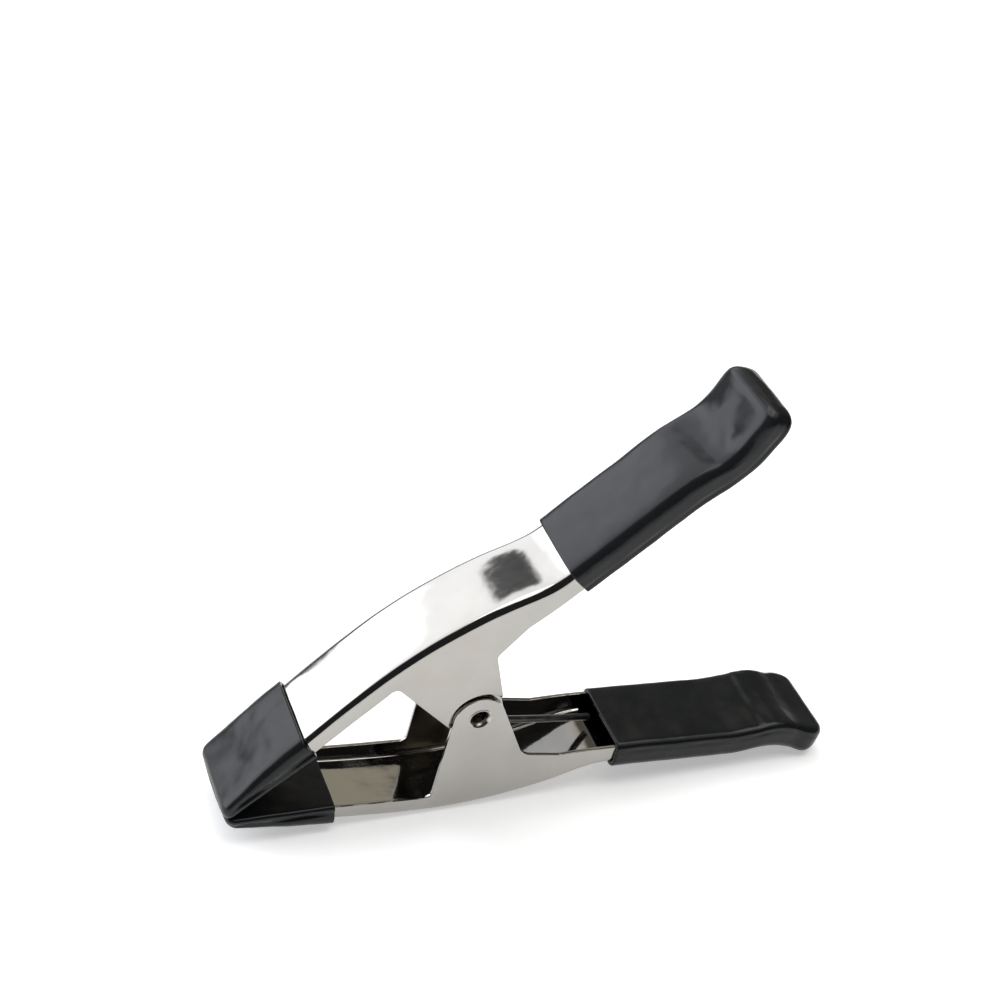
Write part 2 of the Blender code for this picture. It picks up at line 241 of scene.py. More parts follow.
def crossing(line, point, direction, last=False):
    """Where a ray meets a line: the index of the segment, and the point."""
    found = []
    for i in range(len(line) - 1):
        a, d = line[i], line[i + 1] - line[i]
        m = np.array([[direction[0], -d[0]], [direction[1], -d[1]]])
        if abs(np.linalg.det(m)) < 1e-9:
            continue
        s, t = np.linalg.solve(m, a - point)
        if s > 0 and 0 <= t <= 1:
            found.append((i, a + d * t))
    return found[-1] if last else found[0]


def inside(points, loop):
    """Which points lie inside a closed loop."""
    x, y = points[:, 0][:, None], points[:, 1][:, None]
    x0, y0 = loop[:, 0][None], loop[:, 1][None]
    x1, y1 = np.roll(loop[:, 0], -1)[None], np.roll(loop[:, 1], -1)[None]
    rows = (y0 > y) != (y1 > y)
    with np.errstate(divide="ignore", invalid="ignore"):
        cut = (x1 - x0) * (y - y0) / (y1 - y0) + x0
    return (rows & (x < cut)).sum(axis=1) % 2 == 1


def distance_to(points, loop):
    """Distance from each point to a closed loop."""
    a, b = loop[None], np.roll(loop, -1, axis=0)[None]
    p, d = points[:, None], b - a
    t = np.clip(((p - a) * d).sum(2) / np.maximum((d * d).sum(2), 1e-12), 0, 1)
    return np.linalg.norm(p - a - d * t[..., None], axis=2).min(axis=1)


# ---------------------------------------------------------------- meshes


def crown(y, half):
    """How far the web stands proud at y, on a web with this half width."""
    return CROWN * max(0.0, 1 - abs(y / half) ** 6)


class Shape:
    """Points as u, v, y in millimetres, and faces."""

    def __init__(self):
        self.points = []
        self.faces = []

    def add(self, points):
        first = len(self.points)
        self.points.extend(tuple(float(x) for x in p) for p in points)
        return list(range(first, len(self.points)))

    def strips(self, rows, closed=False):
        """Quads between rows of points, which all have the same count."""
        ids = [self.add(row) for row in rows]
        for a, b in zip(ids, ids[1:]):
            n = len(a)
            for i in range(n if closed else n - 1):
                j = (i + 1) % n
                self.faces.append((a[i], a[j], b[j], b[i]))
        return ids


def to_row(points, side):
    """Arm coordinates to the row frame, for the upper (1) or lower (-1) half."""
    p = np.asarray(points, float).reshape(-1, 3)
    x, z, y = p[:, 0], p[:, 1] * side, p[:, 2] * side
    c, s = math.cos(REST_TILT), math.sin(REST_TILT)
    return np.c_[x * c - z * s, y, x * s + z * c] * MM + np.array(PIVOT)


def make(name, shape, side, look, body=None, weighted=True, sharp=30.0):
    """The object of a shape, with its material and slot; with a body, it replaces the CAD piece."""
    mesh = bpy.data.meshes.new(name)
    mesh.from_pydata(to_row(shape.points, side).tolist(), [], shape.faces)
    work = bmesh.new()
    work.from_mesh(mesh)
    bmesh.ops.remove_doubles(work, verts=work.verts, dist=2e-6)
    bmesh.ops.recalc_face_normals(work, faces=work.faces)
    work.to_mesh(mesh)
    work.free()
    made = bpy.data.objects.new(name, mesh)
    bpy.context.scene.collection.objects.link(made)
    mesh.shade_smooth()
    mesh.set_sharp_from_angle(angle=math.radians(sharp))
    if weighted:
        modifier = made.modifiers.new("flat faces stay flat", "WEIGHTED_NORMAL")
        modifier.keep_sharp = True
    mesh.materials.append(look)
    if body:
        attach(made, body)
        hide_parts(name)
    return made


def ruffle(obj, amount, size, seed):
    """Moves each vertex along its normal by smooth noise: amount and size in millimetres."""
    mesh = obj.data
    moved = []
    for vertex in mesh.vertices:
        p = vertex.co / (size * MM) + Vector((seed, -seed, seed * 0.5))
        moved.append(vertex.co + vertex.normal * noise.noise(p) * amount * MM)
    for vertex, co in zip(mesh.vertices, moved):
        vertex.co = co
    mesh.update()


def joggle(points):
    """How far each u, v lies into the step that takes the inner ears inwards, from 0 to 1."""
    u, v = points[:, 0], points[:, 1]
    low = np.clip((JOGGLE_EXTRA_V - v) / 3, 0, 1) * np.clip(u / 3, 0, 1)
    outer = JOGGLE_INNER + JOGGLE_WIDTH + JOGGLE_EXTRA * low
    t = np.clip((outer - np.hypot(u, v)) / JOGGLE_WIDTH, 0, 1)
    return t * t * (3 - 2 * t)


def arm(name, side, joggled, look, body):
    """A pressed channel of sheet: web, two bends, two flanges with ears, all with rounded edges."""
    web = smooth_line(WEB_KEYS, WEB_STEP)
    web = web[(web[:, 0] > SHEET_START) & (web[:, 0] < SHEET_END)]
    out = normals_of(web)
    edge = arm_edge(UPPER_CORNER if joggled else LOWER_CORNER)
    i0, start = crossing(edge, web[0], -out[0])
    i1, end = crossing(edge, web[-1], -out[-1], last=True)
    edge = np.vstack([[start], edge[i0 + 1 : i1 + 1], [end]])
    shape = Shape()

    bend = np.radians(np.linspace(0, 90, 9))
    flat = np.linspace(STEEL_HALF - BEND, BEND - STEEL_HALF, 19)[1:-1]

    def section(radius, top):
        near = [(STEEL_HALF - BEND + radius * math.cos(a), BEND - radius * math.sin(a)) for a in bend]
        middle = [(y, top - crown(y, STEEL_HALF - BEND)) for y in flat]
        return near + middle + [(-y, d) for y, d in near[::-1]]

    skins = []
    for radius, top in ((BEND, 0.0), (BEND - SHEET, SHEET)):
        rows = []
        for p, n in zip(web, out):
            rows.append([(*(p - n * d), y) for y, d in section(radius, top)])
        skins.append(rows)
        shape.strips(rows)
    for k in (0, -1):
        shape.strips([skins[0][k], skins[1][k]])

    roof = web - out * BEND
    round_over = np.radians((0, 30, 60, 90))
    hole = arc((0, 0), RIVET_HOLE, 0, 360, 64)[:-1]
    rings = np.vstack(
        [arc((0, 0), r, 0, 360, 120)[:-1] for r in (5.2, 6.4, 7.8, 9.2, 10.2)]
        + [arc((0, 0), r, 0, 360, 220)[:-1] for r in np.arange(10.8, 13.3, 0.2)]
        + [arc((0, 0), r, 0, 360, 90)[:-1] for r in (14.2, 16.0, 19.0, 24.0)]
    )
    for sign in (1, -1):
        for y in (STEEL_HALF, STEEL_HALF - SHEET):
            rim = offset_line(edge, EDGE_ROUND)
            loop = np.vstack([roof, rim[::-1]])
            fill = rings[inside(rings, loop)] if joggled else np.empty((0, 2))
            if len(fill):
                fill = fill[distance_to(fill, loop) > 0.7]
            points = np.vstack([loop, hole, fill])
            n, m = len(loop), len(hole)
            edges = [(i, (i + 1) % n) for i in range(n)]
            edges += [(n + i, n + (i + 1) % m) for i in range(m)]
            cells = delaunay_2d_cdt([Vector(p) for p in points], edges, [], 0, 1e-6)
            where = np.array([tuple(p) for p in cells[0]])
            centres = np.array([where[list(f)].mean(axis=0) for f in cells[2]])
            keep = inside(centres, loop) & (np.hypot(*centres.T) > RIVET_HOLE * 0.999)
            level = y - joggle(where) * JOGGLE_DEPTH * joggled
            ids = shape.add(np.c_[where, level * sign])
            for face, kept in zip(cells[2], keep):
                if kept:
                    shape.faces.append(tuple(ids[i] for i in face))
        lines = []
        for a in round_over:
            across = EDGE_ROUND * (1 - math.cos(a))
            lines.append((EDGE_ROUND * (1 - math.sin(a)), STEEL_HALF - across))
        for a in round_over[::-1]:
            across = EDGE_ROUND * (1 - math.cos(a))
            lines.append((EDGE_ROUND * (1 - math.sin(a)), STEEL_HALF - SHEET + across))
        rows = []
        for inset, y in lines:
            line = offset_line(edge, inset)
            level = y - joggle(line) * JOGGLE_DEPTH * joggled
            rows.append(np.c_[line, level * sign])
        ids = shape.strips(rows)
        for k, p in ((0, roof[0]), (-1, roof[-1])):
            ends = shape.add([(*p, STEEL_HALF * sign), (*p, (STEEL_HALF - SHEET) * sign)])
            shape.faces.append(tuple([ends[0]] + [row[k] for row in ids] + [ends[1]]))
        drop = JOGGLE_DEPTH * joggled
        shape.strips(
            [
                np.c_[hole, np.full(len(hole), (STEEL_HALF - drop) * sign)],
                np.c_[hole, np.full(len(hole), (STEEL_HALF - SHEET - drop) * sign)],
            ],
            closed=True,
        )
    made = make(name, shape, side, look, body)
    ruffle(made, 0.06, 10.0, 2.7 * side)
    return made


def resample(line, fractions):
    """Points at these fractions of the line's length."""
    d = np.r_[0, np.cumsum(np.linalg.norm(np.diff(line, axis=0), axis=1))]
    return np.c_[
        np.interp(fractions * d[-1], d, line[:, 0]),
        np.interp(fractions * d[-1], d, line[:, 1]),
    ]


def inset_at(t, radius):
    """How far a quarter round of this radius has drawn in, at t from its end."""
    return 0.0 if t >= radius else radius - math.sqrt(max(0.0, radius**2 - (radius - t) ** 2))


def rounded_loop(half, low, high, r_low, r_high):
    """Points round a rectangle of y and height with rounded corners, from its +y side's top corner."""
    loop = []
    corners = (
        (half - r_high, high - r_high, r_high, 0),
        (r_high - half, high - r_high, r_high, 90),
        (r_low - half, low + r_low, r_low, 180),
        (half - r_low, low + r_low, r_low, 270),
    )
    for k, (y, h, r, start) in enumerate(corners):
        for q in range(9):
            g = math.radians(start + 90 * q / 8)
            loop.append((y + r * math.cos(g), h + r * math.sin(g)))
        end = loop[-1]
        y, h, r, start = corners[(k + 1) % 4]
        g = math.radians(start)
        goal = (y + r * math.cos(g), h + r * math.sin(g))
        count = 22 if k % 2 == 0 else 14
        for i in range(1, count):
            f = i / count
            loop.append((end[0] + (goal[0] - end[0]) * f, end[1] + (goal[1] - end[1]) * f))
    return loop


class Sleeve:
    """A dipped sleeve: its top and bottom lines run from its closed end to its rim.

    The noses round its end at the top and the bottom, the corners round its long edges at the
    top and the bottom, and the plan rounds its end's two sides. The extras are a bulge of the
    top, a sag of the bottom, a swell near the closed end, a groove low on each side, and dents.
    """

    def __init__(self, top, bottom, noses, corners, plan, **extras):
        self.top, self.bottom = top, bottom
        self.noses, self.corners, self.plan = noses, corners, plan
        self.bulge, self.sag, self.swell, self.groove = (
            extras.get(key, 0.0) for key in ("bulge", "sag", "swell", "groove")
        )
        self.dents = extras.get("dents", ())
        spans = [np.linalg.norm(np.diff(line, axis=0), axis=1).sum() for line in (top, bottom)]
        self.length = sum(spans) / 2

    def loop(self, t, inset, shift=0.0):
        """One loop at t from the closed end, drawn in by inset; its end rounding starts at shift."""
        f = np.array([min(1.0, t / self.length)])
        a, b = resample(self.top, f)[0], resample(self.bottom, f)[0]
        height = float(np.linalg.norm(a - b))
        up = (a - b) / height
        onset = min(1.0, max(0.0, (SWELL_END - t) / SWELL_FADE))
        grow = self.swell * onset * onset * (3 - 2 * onset)
        ends = [inset_at(t - shift, max(r - shift, 0.5)) for r in (self.plan, *self.noses)]
        half = SLEEVE_HALF + grow - inset - ends[0]
        high = height - inset - ends[1]
        low = inset + ends[2] - grow * 0.6
        most = (high - low) * 0.48
        r_high, r_low = (min(max(r - inset, 0.4), most) for r in self.corners)
        pull = self.sag * min(1.0, t / 16) * (1 - 0.5 * max(0.0, 1 - (self.length - t) / 6))
        made = []
        for y, h in rounded_loop(half, low, high, r_low, r_high):
            if h > high - r_high:
                h += self.bulge * (0.6 - abs(y / half) ** 4) * min(1.0, t / 6)
                h -= sum(dent(t, y) for dent in self.dents)
            elif h < low + r_low:
                h += pull * (1 - min(1.0, abs(y) / half) ** 2) ** 2
            depth = self.groove * (1 + 0.5 * math.sin(t / 4.3 + 1.3 * math.copysign(1, y)))
            near = math.exp(-(((h - low - GROOVE_HEIGHT) / GROOVE_WIDTH) ** 2))
            y -= math.copysign(depth, y) * near * min(1.0, t / 8)
            p = b + up * h
            made.append((p[0], p[1], y))
        return made

    def shape(self):
        wall = SLEEVE_WALL - 0.06
        lip = 0.45
        plan, length = self.plan, self.length
        ends = [plan * (1 - math.cos(math.radians(a))) for a in range(0, 91, 9)]
        steps = round((length - plan - 1.2) / 1.1)
        middle = [plan + (length - plan - 1.2) * k / steps for k in range(1, steps + 1)]
        rows = [self.loop(t, 0.0) for t in ends + middle]
        for a in (0, 30, 60, 90):
            g = math.radians(a)
            rows.append(self.loop(length - lip * (1 - math.sin(g)), lip * (1 - math.cos(g))))
        rows += [self.loop(length, wall - 0.2, wall), self.loop(length - 0.2, wall, wall)]
        ends = [wall + (plan - wall) * (1 - math.cos(math.radians(a))) for a in range(0, 91, 15)]
        rows += [self.loop(t, wall, wall) for t in middle[::-4] + ends[::-1]]
        made = Shape()
        ids = made.strips(rows, closed=True)
        axis = (self.top[0] + self.bottom[0]) / 2
        inward = (self.top[6] + self.bottom[6]) / 2 - axis
        inward /= np.linalg.norm(inward)
        for ring, dome in ((ids[0], -0.5), (ids[-1], 0.0)):
            points = np.array([made.points[i] for i in ring])
            centre = points.mean(axis=0)
            for f in (0.85, 0.68, 0.5, 0.32, 0.15):
                new = centre + (points - centre) * f
                new[:, :2] += inward * dome * (1 - f) ** 0.7
                fresh = made.add(new)
                for i in range(len(ring)):
                    j = (i + 1) % len(ring)
                    made.faces.append((ring[i], ring[j], fresh[j], fresh[i]))
                ring = fresh
            made.faces.append(tuple(ring))
        return made


def crease(t_middle, y_middle, slant, width, half, depth):
    """A step across a sleeve's back, which drops by depth over about the width."""

    def dent(t, y):
        s = (t - t_middle - slant * (y - y_middle)) / width
        fade = math.exp(-(((y - y_middle) / half) ** 4) - (s / 6) ** 2)
        return depth * (0.5 - 0.5 * math.tanh(s)) * fade

    return dent


def dimple(t_middle, y_middle, size, depth):
    """A shallow round dent in a sleeve's back, or a bump where depth is below 0."""
    return lambda t, y: depth * math.exp(-((t - t_middle) ** 2 + (y - y_middle) ** 2) / size**2)


def sleeve(name, side, spec, look, body, seed, wrinkle):
    """The object of a sleeve, with wrinkles of two sizes."""
    made = make(name, spec.shape(), side, look, body, weighted=False, sharp=75.0)
    ruffle(made, wrinkle, 9.0, seed)
    ruffle(made, wrinkle * 0.45, 4.0, seed + 7.3)
    return made


def cut_line(line, low, high):
    """The part of the line between two values of u, with its ends interpolated."""
    kept = [p for p in line if low < p[0] < high]
    if low > line[0, 0]:
        kept.insert(0, (low, np.interp(low, line[:, 0], line[:, 1])))
    if high < line[-1, 0]:
        kept.append((high, np.interp(high, line[:, 0], line[:, 1])))
    return np.array(kept)


def beyond(line, by):
    """The point that lies before the line's first one, this far back along it."""
    d = line[0] - line[1]
    return line[0] + d / np.linalg.norm(d) * by


def grip(name, side, look, body, seed):
    """A handle's sleeve; the upper one has creases and dimples, the lower one a plump end."""
    web = cut_line(smooth_line(WEB_KEYS, WEB_STEP), GRIP_START, 500.0)
    edge = cut_line(smooth_line(HANDLE_EDGE_KEYS, WEB_STEP), GRIP_START + GRIP_SLANT, 500.0)
    top, bottom = offset_line(web, SLEEVE_WALL)[::-1], offset_line(edge, -SLEEVE_WALL)[::-1]
    top[0], bottom[0] = beyond(top, SLEEVE_WALL), beyond(bottom, SLEEVE_WALL)
    if side == 1:
        dents = (
            crease(31.5, -2.0, 0.20, 1.6, 15.0, 0.85),
            crease(20.0, -4.0, -0.5, 1.6, 7.0, 0.3),
            dimple(17.0, -5.0, 5.0, 0.35),
            dimple(12.0, 5.0, 5.0, -0.3),
            dimple(60.0, 13.0, 9.0, 0.25),
        )
        extras = {"bulge": 0.95, "sag": 0.5, "swell": 0.25, "groove": 0.2}
        spec = Sleeve(top, bottom, (4.4, 3.6), (3.7, 2.0), 7.0, dents=dents, **extras)
    else:
        top = np.vstack([[beyond(top, 1.5)], top])
        bottom = np.vstack([LOWER_END, bottom[bottom[:, 0] < LOWER_END[-1][0] - 2.0]])
        extras = {"bulge": 0.4, "sag": 0.5, "swell": 0.8, "groove": 0.35}
        spec = Sleeve(top, bottom, (8.0, 3.4), (3.7, 3.2), 7.0, **extras)
    return sleeve(name, side, spec, look, body, seed, 0.12)


def cap(name, side, look, body, seed):
    """A jaw's sleeve, whose bottom is the flat pad that grips the work."""
    web = cut_line(smooth_line(WEB_KEYS, WEB_STEP), -500.0, CAP_START)
    top = offset_line(web, SLEEVE_WALL)
    slope = (top[1] - top[0]) / (top[1] - top[0])[0]
    nose = top[0] + slope * (NOSE_U - top[0][0])
    top = np.vstack([[nose], top])
    pad = [np.array(PAD_START) + (np.array(PAD_END) - PAD_START) * f for f in np.linspace(0, 1, 12)]
    bottom = np.vstack([[(NOSE_U, NOSE_LOW_V)], pad])
    dents = (
        dimple(22.0, 6.0, 7.0, 0.25),
        dimple(10.0, -7.0, 5.0, 0.2),
        dimple(30.0, -9.0, 5.0, -0.2),
    )
    spec = Sleeve(top, bottom, (2.0, 1.9), (3.7, 1.6), 3.9, bulge=0.2, groove=0.7, dents=dents)
    return sleeve(name, side, spec, look, body, seed, 0.14)


def lathe(shape, profile, count):
    """Turns a closed profile of radius and y about the rivet's axis."""
    rows = []
    for k in range(count):
        a = 2 * math.pi * k / count
        rows.append([(r * math.cos(a), r * math.sin(a), y) for r, y in profile])
    ids = [shape.add(row) for row in rows]
    n = len(profile)
    for k in range(count):
        a, b = ids[k], ids[(k + 1) % count]
        for i in range(n):
            j = (i + 1) % n
            shape.faces.append((a[i], a[j], b[j], b[i]))


def rivet(name, look, body):
    """A tubular rivet: its rolled rims lie in shallow funnels just proud of the ears."""
    face = STEEL_HALF
    rim = [
        (4.10, face - 0.25),
        (4.46, face + 0.02),
        (4.50, face + 0.10),
        (4.44, face + 0.19),
        (4.30, face + 0.25),
        (4.12, face + 0.25),
        (3.96, face + 0.16),
        (3.76, face - 0.04),
        (3.48, face - 0.34),
        (3.20, face - 0.74),
        (2.98, face - 1.30),
        (2.86, face - 2.10),
        (2.82, face - 3.20),
    ]
    profile = rim[::-1] + [(r, -y) for r, y in rim]
    shape = Shape()
    lathe(shape, profile, 72)
    return make(name, shape, 1, look, body, weighted=False, sharp=50.0)


def spring_path():
    """The centre line as x, y, z about the rivet: lower leg, coil and upper leg."""
    end_u, end_v = LEG_END
    tangent = math.atan2(end_v, end_u) + math.acos(COIL_RADIUS / math.hypot(end_u, end_v))
    total = 2 * math.pi * COIL_TURNS + 2 * math.pi - 2 * tangent
    count = 48 * COIL_TURNS
    f = np.arange(count + 1) / count
    a = -tangent - total * f
    coil = np.c_[COIL_RADIUS * np.cos(a), COIL_END * (2 * f - 1), COIL_RADIUS * np.sin(a)]
    f = np.arange(36)[:, None] / 36
    far = np.array([end_u, LEG_END_Y, -end_v])
    lower = far + (coil[0] - far) * f
    lower[:, 1] = coil[0][1] + (LEG_END_Y - coil[0][1]) * (1 - f[:, 0]) ** 1.2
    return np.vstack([lower, coil, lower[::-1] * (1, -1, -1)])


def spring(name, look):
    """Round wire swept along the spring's centre line, with dulled ends."""
    path = spring_path()
    d = np.gradient(path, axis=0)
    d /= np.linalg.norm(d, axis=1)[:, None]
    side = np.cross(d[0], (0, 1, 0))
    rows = []
    for i, (p, t) in enumerate(zip(path, d)):
        side = side - t * (side @ t)
        side /= np.linalg.norm(side)
        other = np.cross(t, side)
        ring = []
        for k in range(16):
            a = 2 * math.pi * k / 16
            ring.append(side * math.cos(a) + other * math.sin(a))
        rows.append((p, t, np.array(ring)))
    loops = []
    for end in (0, -1):
        p, t, ring = rows[end]
        out = -t if end == 0 else t
        caps = []
        for g in np.radians((90, 60, 30)):
            caps.append(p + out * 0.35 * math.sin(g) + ring * (WIRE - 0.35 * (1 - math.cos(g))))
        loops.append(caps if end == 0 else caps[::-1])
    body = [p + ring * WIRE for p, t, ring in rows]
    body = loops[0] + body + loops[1]
    shape = Shape()
    ids = shape.strips([[(q[0], q[2], q[1]) for q in ring] for ring in body], closed=True)
    shape.faces.append(tuple(ids[0]))
    shape.faces.append(tuple(ids[-1]))
    made = make(name, shape, 1, look, weighted=False, sharp=60.0)
    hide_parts(name)
    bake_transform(made)
    return made


# ---------------------------------------------------------------- materials


class Look:
    """A node material, with short ways to add and link its nodes."""

    def __init__(self, name):
        self.material = bpy.data.materials.new(name)
        self.material.use_nodes = True
        self.tree = self.material.node_tree
        self.shader = self.tree.nodes["Principled BSDF"]
        self.place = self.node("ShaderNodeTexCoord").outputs["Object"]

    def node(self, kind, **settings):
        made = self.tree.nodes.new(kind)
        for key, value in settings.items():
            setattr(made, key, value)
        return made

    def link(self, output, target):
        self.tree.links.new(output, target)

    def mapped(self, scale, turn=(0.0, 0.0, 0.0)):
        made = self.node("ShaderNodeMapping")
        made.inputs["Scale"].default_value = scale
        made.inputs["Rotation"].default_value = turn
        self.link(self.place, made.inputs["Vector"])
        return made.outputs["Vector"]

    def noise(self, vector, scale, detail=3.0, rough=0.5):
        made = self.node("ShaderNodeTexNoise")
        made.inputs["Scale"].default_value = scale
        made.inputs["Detail"].default_value = detail
        made.inputs["Roughness"].default_value = rough
        self.link(vector, made.inputs["Vector"])
        return made.outputs["Fac"]

    def ranged(self, value, low, high, to_low, to_high):
        made = self.node("ShaderNodeMapRange")
        limits = {"From Min": low, "From Max": high, "To Min": to_low, "To Max": to_high}
        for key, number in limits.items():
            made.inputs[key].default_value = number
        self.link(value, made.inputs["Value"])
        return made.outputs["Result"]

    def mixed(self, factor, first, second):
        made = self.node("ShaderNodeMix", data_type="RGBA")
        self.link(factor, made.inputs[0])
        for index, value in ((6, first), (7, second)):
            if isinstance(value, tuple):
                made.inputs[index].default_value = (*value, 1.0)
            else:
                self.link(value, made.inputs[index])
        return made.outputs[2]

    def bump(self, height, strength, distance, under=None):
        made = self.node("ShaderNodeBump")
        made.inputs["Strength"].default_value = strength
        made.inputs["Distance"].default_value = distance
        self.link(height, made.inputs["Height"])
        if under is not None:
            self.link(under, made.inputs["Normal"])
        return made.outputs["Normal"]

    def sum(self, first, second):
        made = self.node("ShaderNodeMath", operation="ADD")
        self.link(first, made.inputs[0])
        self.link(second, made.inputs[1])
        return made.outputs[0]


def nickel_look():
    """Bright nickel plate: faint clouds, stains, specks, a fine grain and slow waves."""
    look = Look("nickel_plated_steel")
    base = look.mapped((1.0, 1.0, 1.0))
    brushed = look.mapped((40.0, 700.0, 700.0), (0.0, REST_TILT, 0.0))
    clouds = look.noise(base, 42.0, 4.0, 0.55)
    look.shader.inputs["Metallic"].default_value = 1.0
    cloudy = look.ranged(clouds, 0.35, 0.68, 0.0, 1.0)
    tone = look.mixed(cloudy, (0.372, 0.360, 0.338), (0.408, 0.395, 0.371))
    stains = look.ranged(look.noise(base, 19.0, 3.0, 0.6), 0.58, 0.72, 0.0, 0.5)
    tone = look.mixed(stains, tone, (0.38, 0.348, 0.295))
    specks = look.noise(base, 900.0, 2.0, 0.7)
    tone = look.mixed(look.ranged(specks, 0.70, 0.78, 0.0, 0.4), tone, (0.30, 0.28, 0.25))
    look.link(tone, look.shader.inputs["Base Color"])
    rough = look.ranged(clouds, 0.3, 0.7, 0.06, 0.10)
    grain = look.ranged(look.noise(brushed, 1.0, 2.0, 0.6), 0.4, 0.75, 0.0, 0.02)
    look.link(look.sum(rough, grain), look.shader.inputs["Roughness"])
    waves = look.bump(look.noise(base, 60.0, 3.0, 0.5), 0.32, 0.0004)
    peel = look.bump(look.noise(base, 260.0, 2.0, 0.5), 0.05, 0.00004, waves)
    look.link(peel, look.shader.inputs["Normal"])
    return look.material


def vinyl_look():
    """Glossy black dipped vinyl: faint clouds, dust, soft unevenness and pores."""
    look = Look("black_vinyl")
    base = look.mapped((1.0, 1.0, 1.0))
    clouds = look.noise(base, 60.0, 4.0, 0.6)
    cloudy = look.ranged(clouds, 0.3, 0.7, 0.0, 1.0)
    tone = look.mixed(cloudy, (0.0080, 0.0088, 0.0098), (0.0110, 0.0118, 0.0130))
    dust = look.noise(base, 2600.0, 1.0, 0.5)
    tone = look.mixed(look.ranged(dust, 0.76, 0.82, 0.0, 0.3), tone, (0.10, 0.10, 0.10))
    look.link(tone, look.shader.inputs["Base Color"])
    look.link(look.ranged(clouds, 0.3, 0.7, 0.16, 0.25), look.shader.inputs["Roughness"])
    look.shader.inputs["Specular IOR Level"].default_value = 0.24
    soft = look.bump(look.noise(base, 80.0, 3.0, 0.5), 0.26, 0.0005)
    pores = look.bump(look.noise(base, 1500.0, 3.0, 0.6), 0.07, 0.00006, soft)
    look.link(pores, look.shader.inputs["Normal"])
    return look.material


def wire_look():
    """Spring wire with a black oxide finish."""
    look = Look("black_oxide_wire")
    base = look.mapped((1.0, 1.0, 1.0))
    clouds = look.noise(base, 300.0, 4.0, 0.6)
    cloudy = look.ranged(clouds, 0.35, 0.7, 0.0, 1.0)
    tone = look.mixed(cloudy, (0.055, 0.055, 0.058), (0.11, 0.108, 0.105))
    look.link(tone, look.shader.inputs["Base Color"])
    look.shader.inputs["Metallic"].default_value = 0.85
    look.link(look.ranged(clouds, 0.3, 0.7, 0.28, 0.44), look.shader.inputs["Roughness"])
    look.link(look.bump(look.noise(base, 1400.0, 3.0, 0.6), 0.2, 0.00006), look.shader.inputs["Normal"])
    return look.material


def rivet_look():
    """Plated steel, dulled where it was rolled."""
    look = Look("rivet_steel")
    base = look.mapped((1.0, 1.0, 1.0))
    clouds = look.noise(base, 260.0, 4.0, 0.6)
    cloudy = look.ranged(clouds, 0.35, 0.7, 0.0, 1.0)
    tone = look.mixed(cloudy, (0.40, 0.385, 0.36), (0.56, 0.54, 0.51))
    look.link(tone, look.shader.inputs["Base Color"])
    look.shader.inputs["Metallic"].default_value = 1.0
    look.link(look.ranged(clouds, 0.3, 0.7, 0.2, 0.34), look.shader.inputs["Roughness"])
    look.link(look.bump(look.noise(base, 900.0, 3.0, 0.6), 0.25, 0.00006), look.shader.inputs["Normal"])
    return look.material


# ---------------------------------------------------------------- studio


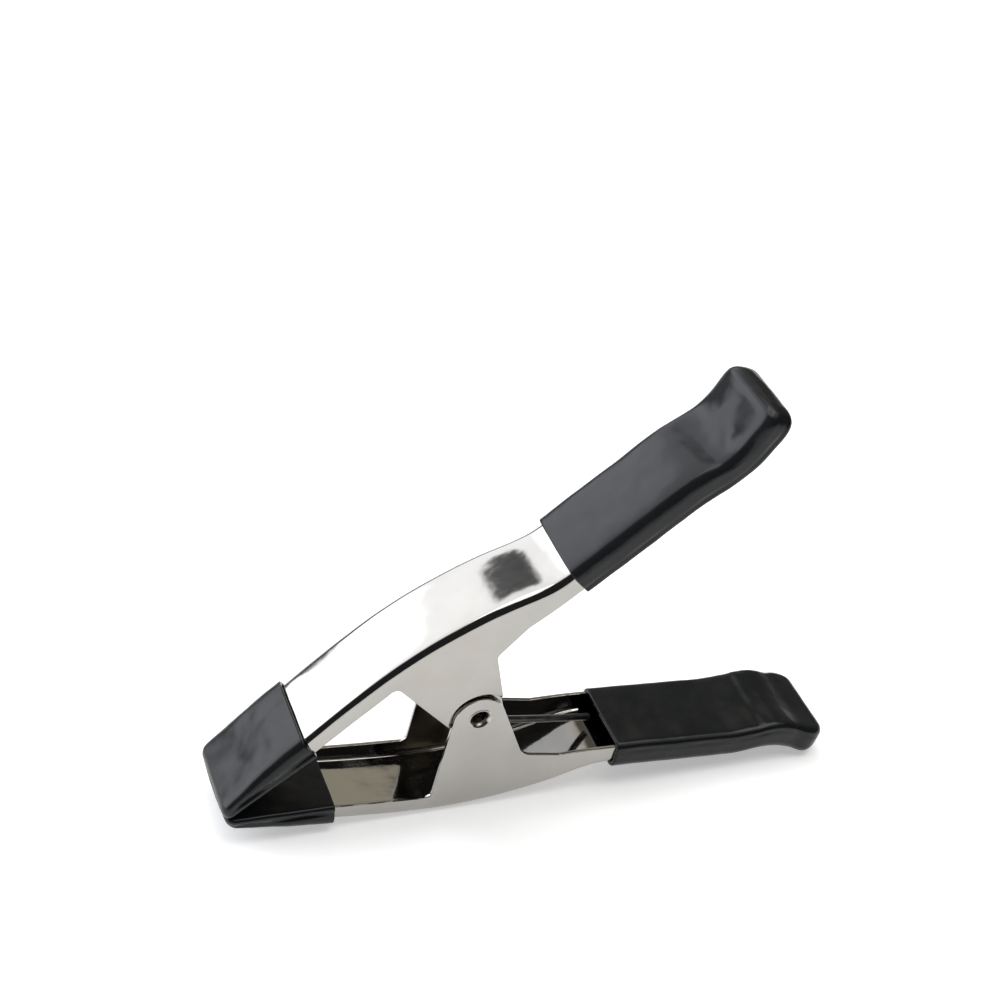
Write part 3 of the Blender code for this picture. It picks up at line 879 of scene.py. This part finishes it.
def studio(ground):
    """A pale floor at the given height, a white wall at the back left, and two soft lamps."""
    mesh = bpy.data.meshes.new("studio_floor")
    r = 4.0
    corners = [(x, y, ground) for x, y in ((-r, -r), (r, -r), (r, r), (-r, r))]
    mesh.from_pydata(corners, [], [(0, 1, 2, 3)])
    floor = bpy.data.objects.new("studio_floor", mesh)
    bpy.context.scene.collection.objects.link(floor)
    look = bpy.data.materials.new("studio_floor")
    look.use_nodes = True
    shader = look.node_tree.nodes["Principled BSDF"]
    shader.inputs["Base Color"].default_value = (0.88, 0.88, 0.88, 1.0)
    shader.inputs["Roughness"].default_value = 0.9
    shader.inputs["Specular IOR Level"].default_value = 0.1
    shader.inputs["Emission Color"].default_value = (1.0, 1.0, 1.0, 1.0)
    shader.inputs["Emission Strength"].default_value = 0.4
    mesh.materials.append(look)

    world = bpy.data.worlds.new("studio")
    bpy.context.scene.world = world
    world.use_nodes = True
    tree = world.node_tree
    background = tree.nodes["Background"]
    place = tree.nodes.new("ShaderNodeTexCoord")
    split = tree.nodes.new("ShaderNodeSeparateXYZ")
    tree.links.new(place.outputs["Generated"], split.inputs["Vector"])

    def step(value, low, high):
        """A smooth step from 0 at low to 1 at high."""
        made = tree.nodes.new("ShaderNodeMapRange")
        made.interpolation_type = "SMOOTHSTEP"
        made.inputs["From Min"].default_value = low
        made.inputs["From Max"].default_value = high
        tree.links.new(value, made.inputs["Value"])
        return made.outputs["Result"]

    def math_node(kind, first, second):
        """The output of a math node on two numbers or outputs."""
        made = tree.nodes.new("ShaderNodeMath")
        made.operation = kind
        for index, value in enumerate((first, second)):
            if isinstance(value, float):
                made.inputs[index].default_value = value
            else:
                tree.links.new(value, made.inputs[index])
        return made.outputs[0]

    def product(first, *rest):
        """The output of all the numbers and outputs multiplied."""
        for value in rest:
            first = math_node("MULTIPLY", first, value)
        return first

    # The light from each direction: a white wall at the back, whose foot is lower towards the
    # left, with a dark gap between its low band and its high band, except at the far left
    x, y, z = (split.outputs[axis] for axis in "XYZ")
    back = step(y, -0.15, 0.2)
    left_foot = product(step(z, 0.10, 0.17), step(x, -0.60, -0.63))
    wall_foot = math_node("MAXIMUM", step(z, 0.22, 0.30), left_foot)
    wall = product(back, math_node("MAXIMUM", wall_foot, step(x, -0.70, -0.76)))
    low_band = step(z, 0.672, 0.650)
    high_band = math_node("MULTIPLY", step(z, 0.72, 0.75), step(z, 0.93, 0.88))
    far_left = step(x, -0.22, -0.27)
    parts = (
        product(wall, low_band, step(x, 0.24, 0.04), 2.3),
        product(wall, step(z, 0.58, 0.50), step(x, -0.30, -0.45), 1.6),
        product(wall, low_band, step(x, 0.04, 0.24), step(x, 0.50, 0.46), 0.42),
        product(wall, high_band, step(x, -0.10, -0.16), 2.0),
        product(wall, high_band, step(x, -0.16, -0.10), step(x, 0.26, 0.18), 0.7),
        product(wall, far_left, step(z, 0.650, 0.672), step(z, 0.75, 0.72), 2.2),
    )
    level = math_node("ADD", product(back, 0.11), 0.03)
    for part in parts:
        level = math_node("ADD", part, level)
    level = math_node("MAXIMUM", level, math_node("MULTIPLY", step(z, 0.02, -0.02), 0.95))
    tree.links.new(level, background.inputs["Strength"])
    tint = tree.nodes.new("ShaderNodeMix")
    tint.data_type = "RGBA"
    tint.inputs[6].default_value = (0.93, 0.95, 1.0, 1.0)
    tint.inputs[7].default_value = (1.0, 0.93, 0.78, 1.0)
    tree.links.new(product(back, step(x, 0.04, 0.24)), tint.inputs[0])
    tree.links.new(tint.outputs[2], background.inputs["Color"])

    for name, place_at, aim, size, power, tint in (
        ("lamp_over", (0.1, 0.1, 1.3), (0.0, 0.0, 0.0), 1.2, 12.5, (1.0, 0.995, 0.985)),
        ("lamp_front", (0.62, -0.25, 1.2), (0.0, 0.0, 0.05), 0.8, 2.2, (1.0, 0.99, 0.97)),
    ):
        data = bpy.data.lights.new(name, "AREA")
        data.shape = "SQUARE"
        data.size = size
        data.energy = power
        data.color = tint
        lamp = bpy.data.objects.new(name, data)
        lamp.location = place_at
        lamp.rotation_euler = (Vector(aim) - Vector(place_at)).to_track_quat("-Z", "Y").to_euler()
        bpy.context.scene.collection.objects.link(lamp)


def camera():
    """A long lens at the front left, above the clamp."""
    data = bpy.data.cameras.new("camera")
    data.sensor_width = 36.0
    data.lens = 70.78
    made = bpy.data.objects.new("camera", data)
    made.location = (-0.26759, -0.48485, 0.52313)
    made.rotation_euler = [math.radians(a) for a in (53.623, -8.275, -20.136)]
    bpy.context.scene.collection.objects.link(made)
    bpy.context.scene.camera = made
    bpy.context.scene.view_settings.view_transform = "Standard"


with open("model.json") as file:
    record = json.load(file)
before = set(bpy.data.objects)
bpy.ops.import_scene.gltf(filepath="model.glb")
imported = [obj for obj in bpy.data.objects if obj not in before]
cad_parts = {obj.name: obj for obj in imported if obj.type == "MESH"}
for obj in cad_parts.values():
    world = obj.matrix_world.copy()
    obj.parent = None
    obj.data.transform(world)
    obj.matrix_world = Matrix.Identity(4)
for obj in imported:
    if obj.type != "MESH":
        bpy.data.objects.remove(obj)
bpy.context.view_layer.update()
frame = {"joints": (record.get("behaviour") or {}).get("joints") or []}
PIVOT = tuple(frame["joints"][0]["pos_m"])
nickel, vinyl = nickel_look(), vinyl_look()
for prefix, half_side in (("lower", -1), ("upper", 1)):
    body_name = prefix + "_half"
    arm(prefix + "_arm", half_side, prefix == "upper", nickel, body_name)
    grip(prefix + "_handle_grip", half_side, vinyl, body_name, 3.1 * half_side)
    cap(prefix + "_jaw_cap", half_side, vinyl, body_name, 5.7 * half_side)
rivet("pivot_rivet", rivet_look(), "lower_half")
spring("torsion_spring", wire_look())
low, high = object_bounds()
studio(low[2] - 0.05 * MM)
camera()
